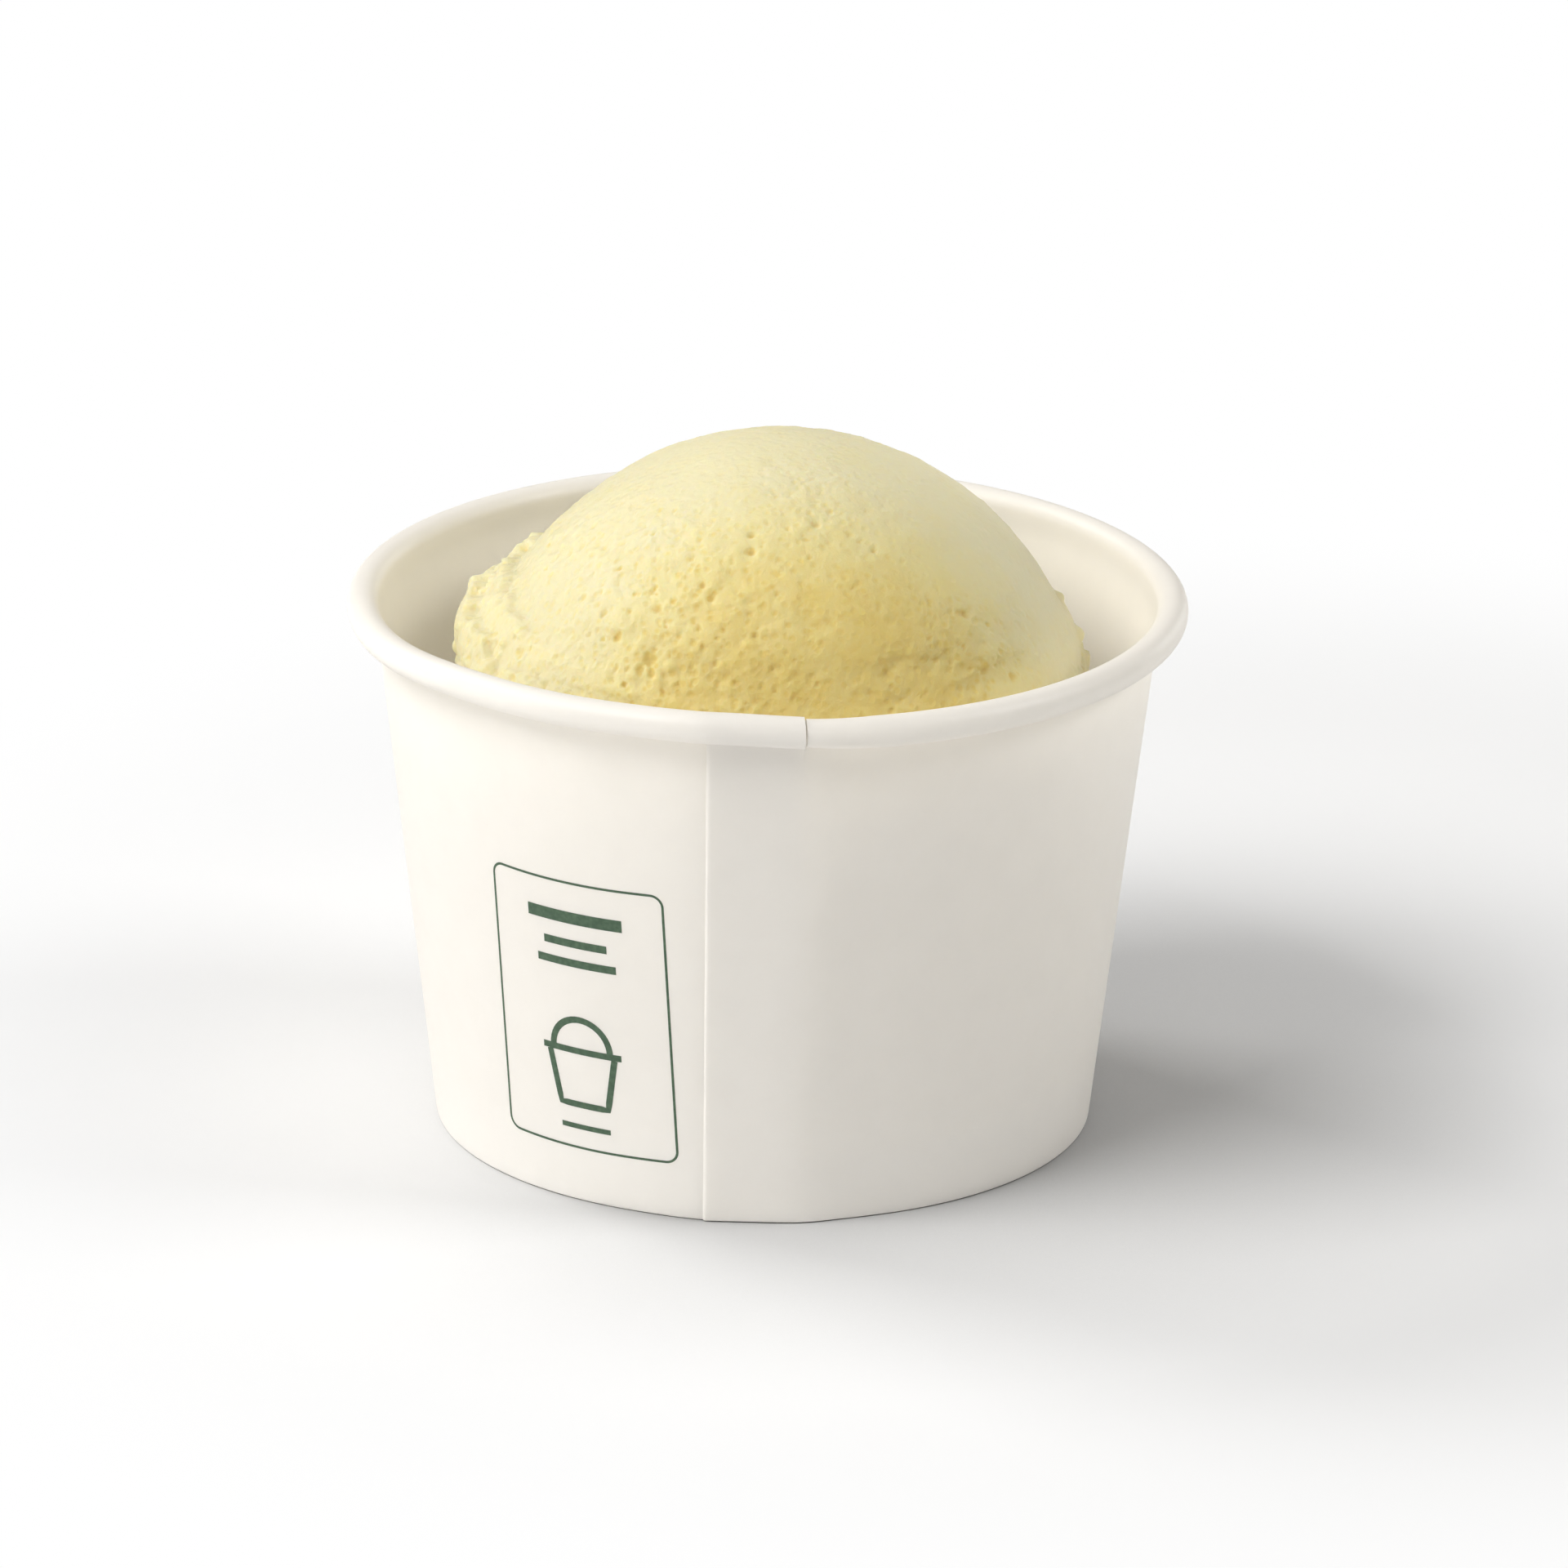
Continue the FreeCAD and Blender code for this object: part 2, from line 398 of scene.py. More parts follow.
def sheet_angles(first):
    """Angle for each share of the way. The first edge is straight, so first differs with the height."""
    ends = [first, lap_end, lap_end + SEAM_RAMP, FULL_TURN + first, FULL_TURN + lap_end]
    stops = np.stack([np.broadcast_to(end, first.shape) for end in ends])
    whole = np.minimum(np.floor(share), 3).astype(int)
    part = (share - whole)[:, None]
    return stops[whole] * (1 - part) + stops[whole + 1] * part


# %% [markdown]
# A cup rolled from board is never a perfect cone. The wall waves a little, the rim isn't quite level,
# and the double board of the lap is stiff, so it stays nearly flat where the single board is round.
# Each of these is a small function of the angle. The printed panel follows the waves and the lap too.

# %% How the rolled board strays from a cone, in millimetres
WAVES = 0.07
RISE = 0.6
RISE_ANGLE = math.radians(-27)


def wall_waves(angle, z):
    """Outward shift from three slow waves round the cup, none of it at the bottom fold."""
    waves = 0.5 * np.cos(2 * angle + 0.7) + 0.3 * np.cos(3 * angle + 2.1)
    waves = waves + 0.2 * np.cos(5 * angle + z / 13)
    return WAVES * waves * step(z, 1.0, 8.0)


def rim_rise(angle, z):
    """Upward shift of the rim, greatest at RISE_ANGLE and eased off to both sides and down the wall."""
    away = np.degrees(np.abs(np.mod(angle - RISE_ANGLE + math.pi, FULL_TURN) - math.pi))
    return RISE * (1 - step(away, 15.0, 45.0)) * step(z, 34.0, 46.0)


def flat_lap(angle, r):
    """Outward shift of the lap: a flat face that touches the cone at its middle, and eases back outside.

    u is the angle from the lap's middle in half laps. A flat face stands out by r times half the square
    of the angle. On the right it flattens off, and both sides have come back to the cone by u = 3.2.
    """
    left = np.arcsin(SEAM_EDGE_X / r)
    half_lap = (lap_end - left) / 2
    u = (np.mod(angle - (lap_end + left) / 2 + math.pi, FULL_TURN) - math.pi) / half_lap
    on_left = np.minimum(u ** 2, 1) * (1 - step(-u, 1.0, 2.8))
    on_right = np.minimum(u, 0.5) ** 2 + 0.75 * step(u, 0.35, 1.7) - step(u, 1.0, 3.2)
    return r * half_lap ** 2 / 2 * np.clip(np.where(u < 0, on_left, on_right), 0, None)


print("the lap's end stands out by", round(float(flat_lap(lap_end, RIM_R)), 2), "mm at the rim")

# %% Carry the section round the cup
inner_face = board_face(
    lift[:, None],
    curl_lift[:, None],
    foot[:, None] + BOARD_T,
    -CHANNEL_W - lift[:, None])
outer_face = board_face(
    lift[:, None] + BOARD_T - edge_press[:, None],
    (curl_lift + curl_t)[:, None],
    foot[:, None],
    -CHANNEL_W - BOARD_T - lift[:, None])
loop = np.concatenate([inner_face, outer_face[:, ::-1]], axis=1)
loop_r, loop_z = loop[..., 0], loop[..., 1]
angles = sheet_angles(np.arcsin(SEAM_EDGE_X / loop_r[0]))
in_wall = np.clip((loop_r - at_wall(-CHANNEL_W, loop_z)[..., 0]) / CHANNEL_W, 0, 1)
bent_r = loop_r + wall_waves(angles, loop_z) + in_wall * flat_lap(angles, loop_r)
wall_points = round_the_axis(bent_r, loop_z + rim_rise(angles, loop_z), angles)
turns, around = loop.shape[:2]
print("the sheet's loop has", around, "points at each of", turns, "stations")

# %% Close the sheet's two cut edges and make the mesh
wall_faces = grid_faces(turns, around, wrap_columns=True)[:, ::-1]
near_side = np.arange(around // 2 - 1)
far_side = around - 1 - near_side
first_cap = np.stack([near_side, near_side + 1, far_side - 1, far_side], axis=1)
last_cap = first_cap[:, ::-1] + (turns - 1) * around
wall_faces = np.vstack([wall_faces, first_cap, last_cap])

side_wall = put_mesh("wall_sheet", wall_points.reshape(-1, 3), wall_faces)
side_wall.data.materials.append(wall_board)
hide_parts("sidewall")
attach(side_wall, "root")

# %% [markdown]
# ## Scoop of ice cream
# A scoop is a ball that was pressed and swept out of a tub. Its crown is smooth, the side that tore away
# is full of small pits, and a ragged collar stands out where the scoop's edge squeezed it.
# A square grid is wrapped over the dome so that its faces stay nearly equal, with no crowded pole,
# and every point is then pushed in or out by lumps, pits and the collar's steps.

# %% Sizes of the scoop, in millimetres
BALL_R = 28.45
BALL_CENTRE = np.array([0.93, 0.0, 34.25])
BELLY_H = 41.0
FOOT_R = 17.6
GRID_N = 301
BODY_ROWS = 5
belly_down = math.pi / 2 - math.asin((BELLY_H - BALL_CENTRE[2]) / BALL_R)
print("the dome reaches", round(math.degrees(belly_down), 1), "degrees down from its crown")


# %% The bare dome and the body below it
def square_to_dome(n):
    """Unit directions of a square grid wrapped over the dome.

    A square ring of the grid becomes a round ring of the dome: its distance from the middle sets how far
    down it lies, and its place along the ring sets its angle. The power 0.9 evens out the faces.
    """
    side = np.linspace(-1, 1, n)
    a, b = np.meshgrid(side, side, indexing="ij")
    ring = np.maximum(np.abs(a), np.abs(b))
    mostly_a = np.abs(a) >= np.abs(b)
    safe = np.where(ring == 0, 1, np.where(mostly_a, a, b))
    turn = np.where(mostly_a, b / safe * math.pi / 4, math.pi / 2 - a / safe * math.pi / 4)
    turn = turn + np.where(safe < 0, math.pi, 0)
    down = ring ** 0.9 * belly_down
    return np.stack([np.sin(down) * np.cos(turn), np.sin(down) * np.sin(turn), np.cos(down)], axis=-1)


def edge_of_square(n):
    """Indices of the grid's outer points, once round."""
    index = np.arange(n * n).reshape(n, n)
    return np.concatenate([index[:-1, 0], index[-1, :-1], index[:0:-1, -1], index[0, :0:-1]])


def body_below(edge, rows):
    """Rows of points from the belly's edge down to the foot, each row nearer to the foot's circle."""
    drop = np.linspace(0, 1, rows + 1)[1:, None]
    centre = BALL_CENTRE[:2]
    out = edge[:, :2] - centre
    r = np.linalg.norm(out, axis=1)
    target = FOOT_R + (r - FOOT_R) * (1 - drop) ** 0.9
    flat = centre + out[None] / r[None, :, None] * target[..., None]
    z = edge[None, :, 2] + (FLOOR_TOP - edge[None, :, 2]) * drop
    return np.concatenate([flat, z[..., None]], axis=-1)


# %% [markdown]
# What the torn skin does depends on the place. The ball swells into a collar, most on the left and at
# the back, which breaks off in low ragged steps. The front left is the most porous, the right of the
# dome is nearly smooth, and low on the right the skin was smeared and tore along short lines.
# Single pits and a few lumps are listed where such a scoop shows them. The tables below give the
# places as a turn from the front and a height above level, both in degrees from the ball's centre.

# %% Places on the torn skin
# Height of the collar's top and how far it stands out, in millimetres, every 45 degrees from the front
COLLAR_TOP = [46.4, 46.6, 47.0, 49.0, 50.0, 50.4, 50.2, 48.4]
COLLAR_OUT = [0.35, 0.4, 0.6, 1.4, 2.1, 2.6, 2.4, 0.45]

# Porous places: strength, turn, height and width
POROUS = [
    (1.0, -34, 26, 62),
    (0.8, -90, 24, 50),
    (0.55, -8, 56, 42),
    (0.75, 40, 18, 36),
    (0.7, 165, 28, 70),
]

# Torn lines: first and last degree of turn, height and depth in millimetres, and the seed
TORN_LINES = [(14, 42, 49.7, 0.13, 101), (36, 62, 47.6, 0.20, 111), (-62, -24, 46.4, 0.16, 121)]

# Pits, and lumps where the depth is negative: turn, height, then width and depth in millimetres
PIT_MARKS = [
    (-9.5, 59.1, 0.45, 0.28), (-8.5, 55.4, 0.50, 0.34), (14.1, 61.6, 0.55, 0.22),
    (30.0, 54.1, 0.38, 0.26), (-20.2, 47.3, 0.40, 0.26), (-17.1, 45.1, 0.48, 0.34),
    (46.7, 38.2, 0.60, 0.28), (-61.5, 26.1, 0.75, 0.26), (-27.7, 32.1, 0.85, 0.40),
    (-37.2, 34.9, 0.65, 0.28), (-29.7, 41.6, 0.60, 0.26), (23.0, 30.2, 0.70, 0.30),
    (46.0, 27.7, 0.60, 0.30), (53.2, 24.8, 0.55, 0.28), (-46.6, 39.5, 0.50, 0.22),
    (-22.8, 31.6, 0.80, -0.34),
    (99.0, 27.0, 0.80, -0.50), (94.0, 20.5, 1.00, -0.55), (92.0, 16.5, 1.10, -0.50),
]
print("porous places:", len(POROUS), "torn lines:", len(TORN_LINES), "marks:", len(PIT_MARKS))


# %% Masks and marks on the torn skin
def from_stops(angle, values):
    """Values given at every 45 degrees from the front, blended round the scoop."""
    stops = np.radians(np.arange(0, 361, 45))
    values = np.append(values, values[0])
    return np.interp(np.mod(angle, FULL_TURN), stops, values)


def degrees_from(way, angle_deg, height_deg):
    """Degrees between each way and one direction from the ball's centre."""
    a, h = math.radians(angle_deg), math.radians(height_deg)
    aim = np.array([math.sin(a) * math.cos(h), -math.cos(a) * math.cos(h), math.sin(h)])
    return np.degrees(np.arccos(np.clip(way @ aim, -1, 1)))


def near_way(way, angle_deg, height_deg, width_deg):
    """1 in one direction from the ball's centre, falling to 0 at width_deg away from it."""
    return 1 - step(degrees_from(way, angle_deg, height_deg), width_deg * 0.35, width_deg)


def smear(points, angle, from_deg, to_deg, height, drop, seed):
    """A torn line: the skin drops in below a ragged height and comes back out 3 mm further down."""
    turn = np.degrees(angle)
    window = step(turn, from_deg, from_deg + 7) * (1 - step(turn, to_deg - 7, to_deg))
    below = height + 1.3 * rough_noise(points, 3.2, seed) - points[:, 2]
    return -drop * window * step(below, 0.0, 0.3) * (1 - step(below, 0.6, 3.0))


def marked_pits(way):
    """Depth of the listed pits: a round bowl for each mark."""
    depth = np.zeros(len(way))
    for angle_deg, height_deg, width, deep in PIT_MARKS:
        away = np.radians(degrees_from(way, angle_deg, height_deg)) * BALL_R / width
        depth += deep * np.clip(1 - away ** 2, 0, 1) ** 1.5
    return depth


# %% Torn skin
DEEP_HOLLOW = 0.32


def torn_skin(points, way):
    """How far each point is pushed out, and from 0 to 1 how rough the skin is there and how hollow.

    The push is lumps, the collar, crumbs, loose bits, grain and torn lines, less every pit. The collar
    is how far it stands out, times the sum of its two ragged steps less the tuck at its foot.
    """
    angle = np.arctan2(way[:, 0], -way[:, 1])
    z = points[:, 2]

    flat_left = -0.35 * near_way(way, -80, 50, 40)
    lumps = 0.22 * rough_noise(points, 9.0, 11)

    collar_out = from_stops(angle, COLLAR_OUT)
    ragged = 0.6 * rough_noise(points, 5.0, 21) + 0.55 * rough_noise(points, 1.7, 31)
    below = from_stops(angle, COLLAR_TOP) + ragged - z
    first_step = 0.46 * step(below + 0.8 * rough_noise(points, 2.4, 37), 0.0, 1.3)
    second_step = 0.54 * step(below + 1.5 * rough_noise(points, 2.2, 35), 3.4, 4.4)
    tucked_in = 0.55 * step(44.6 + ragged * 0.5 - z, 0.0, 3.0)
    collar = collar_out * (first_step + second_step - tucked_in)

    porous = [strength * near_way(way, *place) for strength, *place in POROUS]
    rough = np.maximum.reduce([*porous, 0.9 * step(below, 2.0, 4.5)])
    patchy = np.clip(0.95 * rough + 0.35 * rough_noise(points, 3.2, 41), 0.06, 1)
    crumbs = patchy * (0.21 * rough_noise(points, 1.6, 51) + 0.17 * rough_noise(points, 0.8, 61))
    bits = step(rough_noise(points, 1.5, 65), 0.22, 0.6)
    loose = 0.40 * bits * step(below, 0.0, 1.2) * step(collar_out, 0.5, 1.6)
    grain = 0.03 * rough_noise(points, 0.9, 71)
    torn_lines = sum(smear(points, angle, *line) for line in TORN_LINES)

    wide_pits = 0.27 * pits(points, 1.5, 0.34, 0.44, 81) * step(patchy, 0.40, 0.9)
    fine_pits = 0.18 * pits(points, 0.9, 0.46, 0.30, 91) * (0.12 + 0.88 * step(patchy, 0.12, 0.7))
    by_hand = marked_pits(way)
    hollow = wide_pits + fine_pits + np.clip(by_hand, 0, None)
    push = flat_left + lumps + collar + crumbs + loose + grain + torn_lines
    push = push - wide_pits - fine_pits - by_hand
    return push, patchy, np.clip(hollow / DEEP_HOLLOW, 0, 1)


# %% Push the dome's points and hang the body below them
way = square_to_dome(GRID_N).reshape(-1, 3)
bare_dome = BALL_CENTRE + BALL_R * way
push, roughness, hollow = torn_skin(bare_dome, way)
dome = bare_dome + way * push[:, None]

edge_index = edge_of_square(GRID_N)
edge, edge_bare = dome[edge_index], bare_dome[edge_index]
bare = body_below(edge_bare, BODY_ROWS)
flat_way = (bare - BALL_CENTRE) * np.array([1, 1, 0])
flat_way /= np.linalg.norm(flat_way, axis=-1, keepdims=True)
edge_push = np.linalg.norm((edge - BALL_CENTRE)[:, :2], axis=1)
edge_push -= np.linalg.norm((edge_bare - BALL_CENTRE)[:, :2], axis=1)
fade = np.linspace(1, 0, BODY_ROWS + 1)[1:, None]
body_push = edge_push * fade ** 2 + 0.35 * rough_noise(bare, 5.0, 15) * fade
body = bare + flat_way * body_push[..., None]
body[:, :, 2] += (edge - edge_bare)[:, 2] * fade
print("the skin is pushed by", round(push.min(), 2), "to", round(push.max(), 2), "mm")

# %% Join dome, body and foot in one mesh
around_edge = len(edge_index)
foot_centre = [[BALL_CENTRE[0], BALL_CENTRE[1], FLOOR_TOP]]
scoop_points = np.vstack([dome, body.reshape(-1, 3), foot_centre])
body_index = len(dome) + np.arange(BODY_ROWS * around_edge).reshape(BODY_ROWS, -1)
rows_index = np.vstack([edge_index, body_index])
rows_index = np.hstack([rows_index, rows_index[:, :1]])
corners = [rows_index[:-1, :-1], rows_index[1:, :-1], rows_index[1:, 1:], rows_index[:-1, 1:]]
body_faces = np.stack([corner.ravel() for corner in corners], axis=1)
foot_ring = rows_index[-1]
foot_middle = np.full(around_edge, len(scoop_points) - 1)
foot_faces = np.stack([foot_ring[:-1], foot_middle, foot_ring[1:]], axis=1)
dome_faces = grid_faces(GRID_N, GRID_N)
scoop_faces = [*dome_faces.tolist(), *body_faces.tolist(), *foot_faces.tolist()]
scoop = put_mesh("ice_cream", scoop_points, scoop_faces, sharp_deg=180.0)


# %% Numbers that the scoop's mesh carries
def paint_points(made, name, values, rest):
    """Give each point of a mesh a number, and the points after the last value the number rest."""
    layer = made.data.attributes.new(name, "FLOAT", "POINT")
    filled = np.full(len(made.data.vertices), rest, dtype=np.float32)
    filled[:len(values)] = values
    layer.data.foreach_set("value", filled)


# Painted shade: the shaded lower front gets a deeper yellow from this mask, and the finish also deepens
# the yellow in hollows
shaded_front_paint = 0.9 * near_way(way, 10, 20, 60)
paint_points(scoop, "rough", roughness, 0.7)
paint_points(scoop, "hollow", hollow, 0.3)
paint_points(scoop, "shaded_front_paint", shaded_front_paint, 0.4)
print("mean roughness of the dome:", round(float(roughness.mean()), 2))

# %% [markdown]
# Vanilla ice cream is pale yellow fat and ice with air in it. Light goes a little way in and comes out
# again, so hollows look deeper yellow than the crown. The finish is a soft subsurface shader with a faint
# wet sheen. Shade is also painted into its colour: a deeper yellow in hollows and pores and on the shaded
# lower front, while the lit top and left stay palest. Numbers that the mesh carries say where the skin is
# rough and hollow and where the front's shade is painted, and a fine bump of pores and crystals is
# strongest where it is torn.

# %% Ice cream finish
# Tints from the palest lit skin to the deepest painted shade in hollows and on the shaded front, then how
# fine each texture is, the depth of its pores and how far light reaches into it
SKIN_TO_PAINTED_SHADE_STOPS = [
    (0.0, (0.775, 0.71, 0.44)),
    (0.5, (0.785, 0.685, 0.33)),
    (1.0, (0.75, 0.59, 0.20)),
]
DRIFTS_PER_METRE = 300.0
CRYSTALS_PER_METRE = 2300.0
PORES_PER_METRE = 1150.0
PORE_DEPTH = 0.12 * MM
LIGHT_REACH = 2.2 * MM


def make_ice_cream():
    """Vanilla ice cream: painted shade by place and in hollows, noisy tone, pores, crystals, a soft wet
    sheen.
    """
    made, tree = finish_named("vanilla ice cream")
    place = add(tree, "ShaderNodeTexCoord").outputs["Object"]
    rough_at, hollow_at, shaded_front_paint_at = [
        add(tree, "ShaderNodeAttribute", attribute_name=name).outputs["Fac"]
        for name in ("rough", "hollow", "shaded_front_paint")]
    slow = add(tree, "ShaderNodeTexNoise", {
        "Vector": place, "Scale": DRIFTS_PER_METRE, "Detail": 5.0, "Roughness": 0.6}).outputs["Fac"]
    fine = add(tree, "ShaderNodeTexNoise", {
        "Vector": place, "Scale": CRYSTALS_PER_METRE, "Detail": 3.0, "Roughness": 0.6}).outputs["Fac"]
    from_pore = add(tree, "ShaderNodeTexVoronoi", {
        "Vector": place, "Scale": PORES_PER_METRE, "Randomness": 1.0}).outputs["Distance"]

    drift = spread(tree, slow, (0.3, 0.7), (-0.14, 0.14))
    # Painted shade: pores on the torn skin, the hollows and the shaded front are coloured deeper yellow
    painted_pore_shade = worked(tree, "MULTIPLY", spread(tree, from_pore, (0.42, 0.12), (0.0, 0.42)), rough_at)
    painted_shade = worked(tree, "MULTIPLY_ADD", hollow_at, 0.7, shaded_front_paint_at)
    depth = worked(tree, "ADD", worked(tree, "ADD", painted_shade, painted_pore_shade), drift)
    colour = ramp(tree, depth, SKIN_TO_PAINTED_SHADE_STOPS)
    rough = ramp(tree, fine, [(0.3, (0.5,) * 3), (0.7, (0.72,) * 3)])

    height = worked(tree, "MULTIPLY_ADD", fine, 1.2, spread(tree, from_pore, (0.1, 0.5), (0.0, 1.0)))
    strength = spread(tree, rough_at, (0.0, 1.0), (0.3, 0.7))
    bump = add(tree, "ShaderNodeBump", {"Strength": strength, "Distance": PORE_DEPTH, "Height": height})
    close_with(tree, add(tree, "ShaderNodeBsdfPrincipled", {
        "Base Color": colour, "Roughness": rough, "Normal": bump.outputs["Normal"],
        "Subsurface Weight": 0.55, "Subsurface Radius": (1.0, 0.75, 0.35),
        "Subsurface Scale": LIGHT_REACH, "IOR": 1.36, "Specular IOR Level": 0.35,
        "Sheen Weight": 0.30, "Sheen Roughness": 0.45, "Sheen Tint": (1.0, 0.93, 0.74, 1)}))
    return made


ice_cream = make_ice_cream()
scoop.data.materials.append(ice_cream)
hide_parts("ice_cream_scoop")
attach(scoop, "root")
print("scoop finish:", ice_cream.name, "with", len(ice_cream.node_tree.nodes), "nodes")

# %% [markdown]
# ## Printed panel
# The blank was printed flat before it was rolled: a thin frame with rounded corners, plain bars, and the
# outline of a small cup, in dark green. Each line is a thin strip of ink. It is drawn flat and then
# wrapped with the blank onto the cone, just proud of the board, so it follows the wall's waves and lap.

# %% Place of the panel on the flat blank, in millimetres
PANEL_ANGLE = math.radians(-30.7)
PANEL_Z = 18.2
PANEL_W = 17.5
PANEL_H = 26.0
CORNER_R = 1.1
FRAME_LINE = 0.23
DRAWN_LINE = 0.62
INK_PROUD = 0.02
apex_drop = BASE_R / math.tan(TAPER)


def onto_cone(flat):
    """Flat blank to cone: distance from the blank's centre gives the height, and its angle the turn."""
    reach = (PANEL_Z + apex_drop) / math.cos(TAPER)
    x, y = flat[..., 0], flat[..., 1] + reach
    slant = np.hypot(x, y)
    angle = PANEL_ANGLE + np.arctan2(x, y) / math.sin(TAPER)
    z = slant * math.cos(TAPER) - apex_drop
    cone_r = BASE_R + z * math.tan(TAPER)
    r = cone_r + INK_PROUD + wall_waves(angle, z) + flat_lap(angle, cone_r)
    return round_the_axis(r, z, angle)


print("the blank's centre lies", round(apex_drop, 1), "mm below the table")


# %% Strips of ink
def stroke(path, width, closed=False):
    """A strip of ink along a flat path: each point moved to both sides, square to the path there."""
    path = np.asarray(path, float)
    if closed:
        ahead, behind = np.roll(path, -1, axis=0), np.roll(path, 1, axis=0)
    else:
        ahead = np.vstack([path[1:], path[-1:]])
        behind = np.vstack([path[:1], path[:-1]])
    way_on = ahead - behind
    way_on /= np.linalg.norm(way_on, axis=1, keepdims=True)
    aside = np.stack([-way_on[:, 1], way_on[:, 0]], axis=1) * width / 2
    return np.stack([path - aside, path + aside])


def rounded_box(width, height, radius, per_side=24, per_corner=8):
    """A closed flat path round a box with rounded corners, anticlockwise."""
    arcs = []
    for k, (sx, sy) in enumerate([(1, 1), (-1, 1), (-1, -1), (1, -1)]):
        centre = np.array([sx * (width / 2 - radius), sy * (height / 2 - radius)])
        turn = math.pi / 2 * (k + np.linspace(0, 1, per_corner + 1))
        arcs.append(centre + radius * np.stack([np.cos(turn), np.sin(turn)], axis=1))
    joined = []
    share_on = np.linspace(0, 1, per_side + 1)[1:-1, None]
    for arc_points, following in zip(arcs, arcs[1:] + arcs[:1]):
        joined += [arc_points, arc_points[-1] + (following[0] - arc_points[-1]) * share_on]
    return np.vstack(joined)


def bar(centre_x, centre_y, length, width):
    """A plain bar with a straight run of points, so that it bends with the cone."""
    x = np.linspace(-length / 2, length / 2, 17)
    return stroke(np.stack([centre_x + x, np.full_like(x, centre_y)], axis=1), width), False


def polyline(corners, per_side=8):
    """Points along straight sides between flat corners."""
    corners = np.asarray(corners, float)
    share_on = np.linspace(0, 1, per_side + 1)[:-1, None]
    runs = [a + (b - a) * share_on for a, b in zip(corners[:-1], corners[1:])]
    return np.vstack([*runs, corners[-1:]])


def ink_piece(strips):
    """Points and faces of several strips, each wrapped onto the cone."""
    points, faces, start = [], [], 0
    for strip, closed in strips:
        count = strip.shape[1]
        points.append(onto_cone(strip).reshape(-1, 3))
        faces.append(grid_faces(2, count, wrap_columns=closed) + start)
        start += 2 * count
    return np.vstack(points), np.vstack(faces)


# %% Draw the panel
half_turn = np.linspace(0, math.pi, 25)
drawn_ball = np.stack([2.9 * np.cos(half_turn), -3.2 + 2.9 * np.sin(half_turn)], axis=1)
drawn_rim = polyline([(-4.0, -3.4), (4.0, -3.4)])
drawn_cup = polyline([(-3.3, -3.7), (-2.4, -8.7), (2.4, -8.7), (3.3, -3.7)])
strips = [
    (stroke(rounded_box(PANEL_W, PANEL_H, CORNER_R), FRAME_LINE, closed=True), True),
    bar(0, 9.6, 9.6, 1.15),
    bar(0, 7.1, 6.4, 0.75),
    bar(0, 5.2, 8.0, 0.75),
    (stroke(drawn_ball, DRAWN_LINE), False),
    (stroke(drawn_rim, DRAWN_LINE), False),
    (stroke(drawn_cup, DRAWN_LINE), False),
    bar(0, -10.9, 5.0, 0.5),
]
ink = put_mesh("printed_panel", *ink_piece(strips), sharp_deg=180.0)

# %% Ink finish
INK_STOPS = [(0.35, (0.040, 0.085, 0.045)), (0.75, (0.075, 0.135, 0.075))]


def make_ink():
    """Dark green ink, a little uneven where the board took less of it."""
    made, tree = finish_named("green print")
    place = add(tree, "ShaderNodeTexCoord").outputs["Object"]
    worn = add(tree, "ShaderNodeTexNoise", {"Vector": place, "Scale": 2200.0, "Detail": 3.0})
    colour = ramp(tree, worn.outputs["Fac"], INK_STOPS)
    close_with(tree, add(tree, "ShaderNodeBsdfPrincipled", {"Base Color": colour, "Roughness": 0.5}))
    return made


ink.data.materials.append(make_ink())
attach(ink, "root")
print("ink finish:", ink.data.materials[0].name)

# %% [markdown]
# ## Table
# The cup stands on a plain white table in white surroundings. The table is a large disc whose outer part
# fades into plain white for the camera, so no horizon shows. Near the cup it is matte and keeps the
# cup's soft shadow. To the camera its white is a little greyer than to the other rays, so that it still
# lights the wall from below, and a soft shade is painted on it towards the foot of the cup, less on the
# lit left.

# %% Table finish
# How white the table is to most rays, and to the camera
TABLE_WHITE = 0.95
TABLE_SEEN = 0.865

# In metres, as the nodes take them: the fade's centre and its two radii, the reach of the shade painted
# at the foot, and how far to the left it has grown weak. Then its powers on the left and on the right.
SHADOW_MIDDLE = (0.045, 0.02, 0)
FADE_FROM, FADE_TO = 0.085, 0.15
FOOT_SHADE_REACH = 42 * MM
LIT_SIDE = -0.05
WEAK_SHADE, FULL_SHADE = 0.1, 0.72


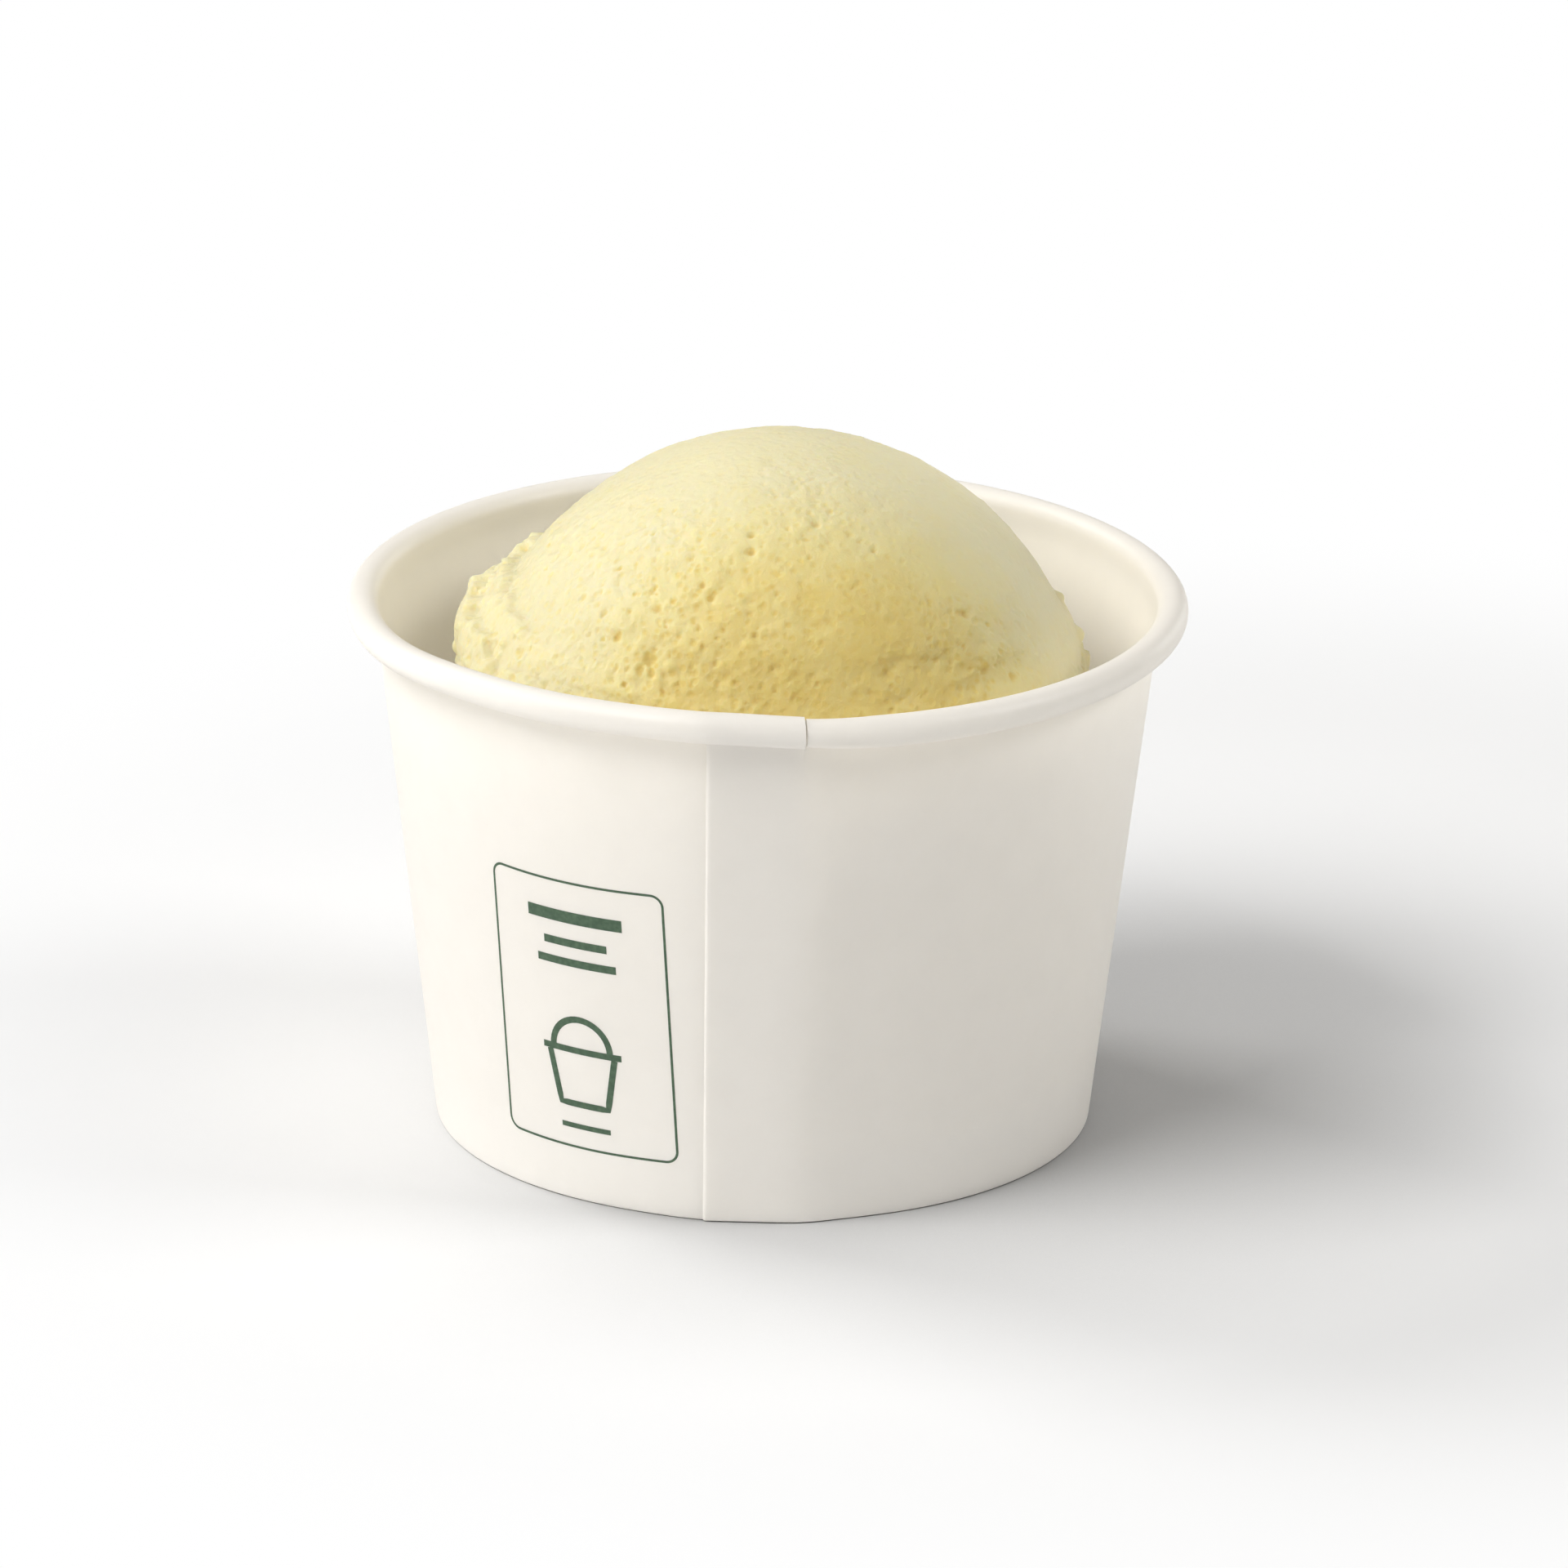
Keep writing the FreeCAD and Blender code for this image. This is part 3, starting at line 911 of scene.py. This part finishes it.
def make_table():
    """Matte white, and for the camera a soft painted shade at the cup's foot and plain white far away.

    The painted shade is how open the sky is over a point, from 0 to 1, to a power that grows to the
    right.
    """
    made, tree = finish_named("white table")
    place = add(tree, "ShaderNodeTexCoord").outputs["Object"]
    away = add(tree, "ShaderNodeVectorMath", {0: place, 1: SHADOW_MIDDLE}, operation="DISTANCE")
    far = spread(tree, away.outputs["Value"], (FADE_FROM, FADE_TO), (0.0, 1.0), kind="SMOOTHSTEP")
    sight = add(tree, "ShaderNodeLightPath").outputs
    seen = worked(tree, "MAXIMUM", sight["Is Camera Ray"], sight["Is Glossy Ray"])
    share_white = worked(tree, "MULTIPLY", far, seen)
    # Painted shade: the table's seen colour darkens near the cup's foot, by how open the sky is there
    open_sky = add(tree, "ShaderNodeAmbientOcclusion", {"Distance": FOOT_SHADE_REACH}, samples=12)
    side = add(tree, "ShaderNodeSeparateXYZ", {0: place}).outputs["X"]
    power = spread(tree, side, (LIT_SIDE, 0.0), (WEAK_SHADE, FULL_SHADE), kind="SMOOTHSTEP")
    painted_foot_shade = worked(tree, "MULTIPLY", worked(tree, "POWER", open_sky.outputs["AO"], power), TABLE_SEEN)
    paint = spread(tree, seen, (0.0, 1.0), (TABLE_WHITE, painted_foot_shade))
    matte = add(tree, "ShaderNodeBsdfDiffuse", {"Color": paint})
    white = add(tree, "ShaderNodeEmission", {"Color": (1, 1, 1, 1), "Strength": 1.0})
    close_with(tree, add(tree, "ShaderNodeMixShader", {
        0: share_white, 1: matte.outputs[0], 2: white.outputs[0]}))
    return made


white_table = make_table()
print("table finish:", white_table.name, "with", len(white_table.node_tree.nodes), "nodes")

# %% Table disc, in millimetres
TABLE_Z = -0.02
TABLE_R = 3000.0
TABLE_RINGS, TABLE_TURNS = 12, 128
disc_angle = np.linspace(0, FULL_TURN, TABLE_TURNS + 1)[:-1]
disc_r = np.linspace(0.01, TABLE_R, TABLE_RINGS)
disc = round_the_axis(disc_r[:, None], TABLE_Z, disc_angle[None])
inner_ring = np.arange(TABLE_TURNS)
hub_index = np.full(TABLE_TURNS, TABLE_RINGS * TABLE_TURNS)
hub_faces = np.stack([hub_index, inner_ring, (inner_ring + 1) % TABLE_TURNS], axis=1)
disc_faces = grid_faces(TABLE_RINGS, TABLE_TURNS, wrap_columns=True)[:, ::-1]
table_points = np.vstack([disc.reshape(-1, 3), [[0, 0, TABLE_Z]]])
table = put_mesh("table_top", table_points, [*disc_faces.tolist(), *hub_faces.tolist()])
table.data.materials.append(white_table)

# %% [markdown]
# The surroundings are plain white where the camera looks straight into them, or through something. To
# every other ray they are nearly dark, so the lamps alone shape the cup.

# %% Surroundings
WORLD_LIGHT = 0.01
SKY_COLOUR = (0.97, 0.985, 1.0, 1)
world = bpy.data.worlds.new("white room")
bpy.context.scene.world = world
world.use_nodes = True
room = world.node_tree
room.nodes.clear()
sight = add(room, "ShaderNodeLightPath").outputs
seen = worked(room, "MAXIMUM", sight["Is Camera Ray"], sight["Is Transmission Ray"])
strength = spread(room, seen, (0.0, 1.0), (WORLD_LIGHT, 1.0))
sky = add(room, "ShaderNodeBackground", {"Color": SKY_COLOUR, "Strength": strength})
add(room, "ShaderNodeOutputWorld", {"Surface": sky.outputs[0]})
print("surroundings:", world.name)

# %% [markdown]
# ## Light
# One large soft lamp stands on the left, a little in front and above. It models the wall from bright on
# the left to grey on the right, and throws the soft shadow to the right and back. A low lamp under it
# lights the board just below the rim, a lamp behind on the left lights the far side of the scoop, and
# two weak ones on the right keep the inside of the cup and the shaded wall from going dark.

# %% Lamps
# All lamps look at one point from the same distance, in metres
LAMP_AIM = Vector((0, 0, 0.02))
LAMP_DISTANCE = 2.0
LAMP_COLOUR = (1.0, 0.995, 0.985)

# Azimuth from the front towards the left and height in degrees, width and height in metres, watts
LAMPS = {
    "key": (58, 48, 1.4, 0.9, 32.5),
    "low left": (64, 14, 0.9, 0.5, 7.0),
    "back left": (125, 38, 0.72, 0.72, 15.4),
    "right fill": (-84, 37, 0.72, 0.72, 15.2),
    "back right card": (-140, 8, 0.72, 0.72, 7.6),
}

for name, (azimuth_deg, height_deg, width, height, watts) in LAMPS.items():
    a, h = math.radians(azimuth_deg), math.radians(height_deg)
    way_out = Vector((-math.sin(a) * math.cos(h), -math.cos(a) * math.cos(h), math.sin(h)))
    lamp = bpy.data.lights.new(name, "AREA")
    lamp.shape = "RECTANGLE"
    lamp.size, lamp.size_y = width, height
    lamp.energy = watts
    lamp.color = LAMP_COLOUR
    placed = bpy.data.objects.new(name, lamp)
    placed.location = LAMP_AIM + way_out * LAMP_DISTANCE
    placed.rotation_euler = (-way_out).to_track_quat("-Z", "Y").to_euler()
    bpy.context.scene.collection.objects.link(placed)
print("lamps:", ", ".join(LAMPS))

# %% [markdown]
# ## Camera
# The camera looks down a little from the front, through a long lens, as the picture was taken. It has a
# slight roll, which comes from fitting the rim and the base of the cup.

# %% Camera
# Angles in degrees, distance and target in metres, and the lens in millimetres
CAM_AZIMUTH, CAM_HEIGHT, CAM_ROLL = np.radians([0.0972, 19.3107, 0.6058])
CAM_DISTANCE = 1.02057
CAM_TARGET = Vector((0.001635, 0.0, 0.030518))
SENSOR_MM = 36.0
FOCAL_MM = 261.48

back = Vector((
    -math.sin(CAM_AZIMUTH) * math.cos(CAM_HEIGHT),
    -math.cos(CAM_AZIMUTH) * math.cos(CAM_HEIGHT),
    math.sin(CAM_HEIGHT)))
right = Vector((math.cos(CAM_AZIMUTH), -math.sin(CAM_AZIMUTH), 0))
up = back.cross(right)
rolled_right = right * math.cos(CAM_ROLL) + up * math.sin(CAM_ROLL)
rolled_up = up * math.cos(CAM_ROLL) - right * math.sin(CAM_ROLL)
lens = bpy.data.cameras.new("camera")
lens.sensor_fit = "HORIZONTAL"
lens.sensor_width = SENSOR_MM
lens.lens = FOCAL_MM
lens.clip_start, lens.clip_end = 0.05, 20.0
camera = bpy.data.objects.new("camera", lens)
bpy.context.scene.collection.objects.link(camera)
turn_to_view = Matrix((rolled_right, rolled_up, back)).transposed().to_4x4()
camera.matrix_world = Matrix.Translation(CAM_TARGET + back * CAM_DISTANCE) @ turn_to_view
bpy.context.scene.camera = camera
bpy.context.scene.view_settings.view_transform = "Standard"
print("camera stands at", [round(value, 3) for value in camera.matrix_world.translation])
